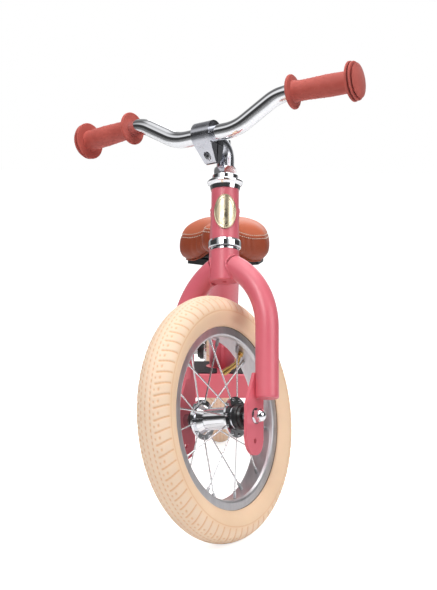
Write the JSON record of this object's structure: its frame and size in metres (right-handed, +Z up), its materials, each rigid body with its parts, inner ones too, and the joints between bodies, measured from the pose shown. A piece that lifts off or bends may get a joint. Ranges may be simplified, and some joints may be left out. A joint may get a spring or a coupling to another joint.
{
  "type": "balance bike",
  "caption": "Child's two-wheeled balance bike: step-through steel frame with foot platform, turned fork, spoked wheels, padded saddle and curved bar.",
  "frame": {"origin": "the point on the ground under the rear axle, in the bike's middle plane", "axes": "+Z up, +Y to the back so the bike faces -Y, +X to the rider's left; the steering stands turned to the rider's right at rest"},
  "size_m": [0.3671, 0.8384, 0.5784],
  "materials": {
    "pink_powder_coat": "satin",
    "cream_rubber": "matte",
    "butyl_rubber": "matte",
    "silver_alloy": "satin",
    "bright_wire": "polished",
    "brass": "satin",
    "chrome": "polished",
    "black_plastic": "satin",
    "bearing_steel": "polished",
    "zinc_steel": "satin",
    "badge_metal": "brushed",
    "black_rubber": "matte",
    "red_rubber": "matte",
    "tan_leatherette": "satin"
  },
  "bodies": {
    "frame": {"head_tube": "pink_powder_coat", "head_badge": "badge_metal", "down_tube": "pink_powder_coat", "gusset": "pink_powder_coat", "platform": "pink_powder_coat", "grip_pads": "black_rubber", "keel": "pink_powder_coat", "seat_tube": "pink_powder_coat", "seat_clamp": "chrome", "seat_clamp_bolt": "zinc_steel", "rear_stay_left": "pink_powder_coat", "rear_stay_right": "pink_powder_coat", "rear_dropouts": "pink_powder_coat", "lower_head_cup": "chrome", "upper_head_cup": "chrome", "head_bearing_balls": "bearing_steel", "rear_cones": "bearing_steel", "rear_axle": "zinc_steel", "rear_axle_nuts": "chrome"},
    "fork": {"steerer_tube": "zinc_steel", "fork_crown": "pink_powder_coat", "fork_blade_left": "pink_powder_coat", "fork_blade_right": "pink_powder_coat", "fork_dropouts": "pink_powder_coat", "crown_race": "bearing_steel", "top_cone_nut": "chrome", "steering_lock_nut": "chrome", "front_cones": "bearing_steel", "front_axle": "zinc_steel", "front_axle_nuts": "chrome"},
    "handlebar_stem": {"stem": "chrome", "stem_wedge": "zinc_steel", "stem_bolts": "zinc_steel", "handlebar": "chrome", "grip_left": "red_rubber", "grip_right": "red_rubber"},
    "front_wheel": {"front_tyre": "cream_rubber", "front_inner_tube": "butyl_rubber", "front_rim": "silver_alloy", "front_spokes": "bright_wire", "front_spoke_nipples": "zinc_steel", "front_valve": "brass", "front_hub_shell": "chrome", "front_hub_caps": "black_plastic", "front_hub_balls": "bearing_steel"},
    "rear_wheel": {"rear_tyre": "cream_rubber", "rear_inner_tube": "butyl_rubber", "rear_rim": "silver_alloy", "rear_spokes": "bright_wire", "rear_spoke_nipples": "zinc_steel", "rear_valve": "brass", "rear_hub_shell": "chrome", "rear_hub_caps": "black_plastic", "rear_hub_balls": "bearing_steel"},
    "seat": {"seat_post": "chrome", "saddle_clamp_plate": "zinc_steel", "saddle_bolts": "zinc_steel", "saddle_base": "black_plastic", "saddle_cover": "tan_leatherette"}
  },
  "joints": [
    {"name": "steering", "type": "hinge", "parent": "frame", "child": "fork", "pos_m": [0, -0.5507, 0.14541], "axis": [0, 0.3148, 0.9492], "range_deg": [-10.5, 79.5]},
    {"name": "front_wheel_spin", "type": "hinge", "parent": "fork", "child": "front_wheel", "pos_m": [-0.00555, -0.55836, 0.14796], "axis": [0.8241, -0.5376, 0.1783], "continuous": true},
    {"name": "rear_wheel_spin", "type": "hinge", "parent": "frame", "child": "rear_wheel", "pos_m": [0, 0, 0.15], "axis": [1, 0, 0], "continuous": true},
    {"name": "handlebar_height", "type": "slide", "parent": "fork", "child": "handlebar_stem", "axis": [0, 0.3148, 0.9492], "range_m": [0, 0.045]},
    {"name": "seat_height", "type": "slide", "parent": "frame", "child": "seat", "axis": [0, 0.454, 0.891], "range_m": [0, 0.08]}
  ]
}
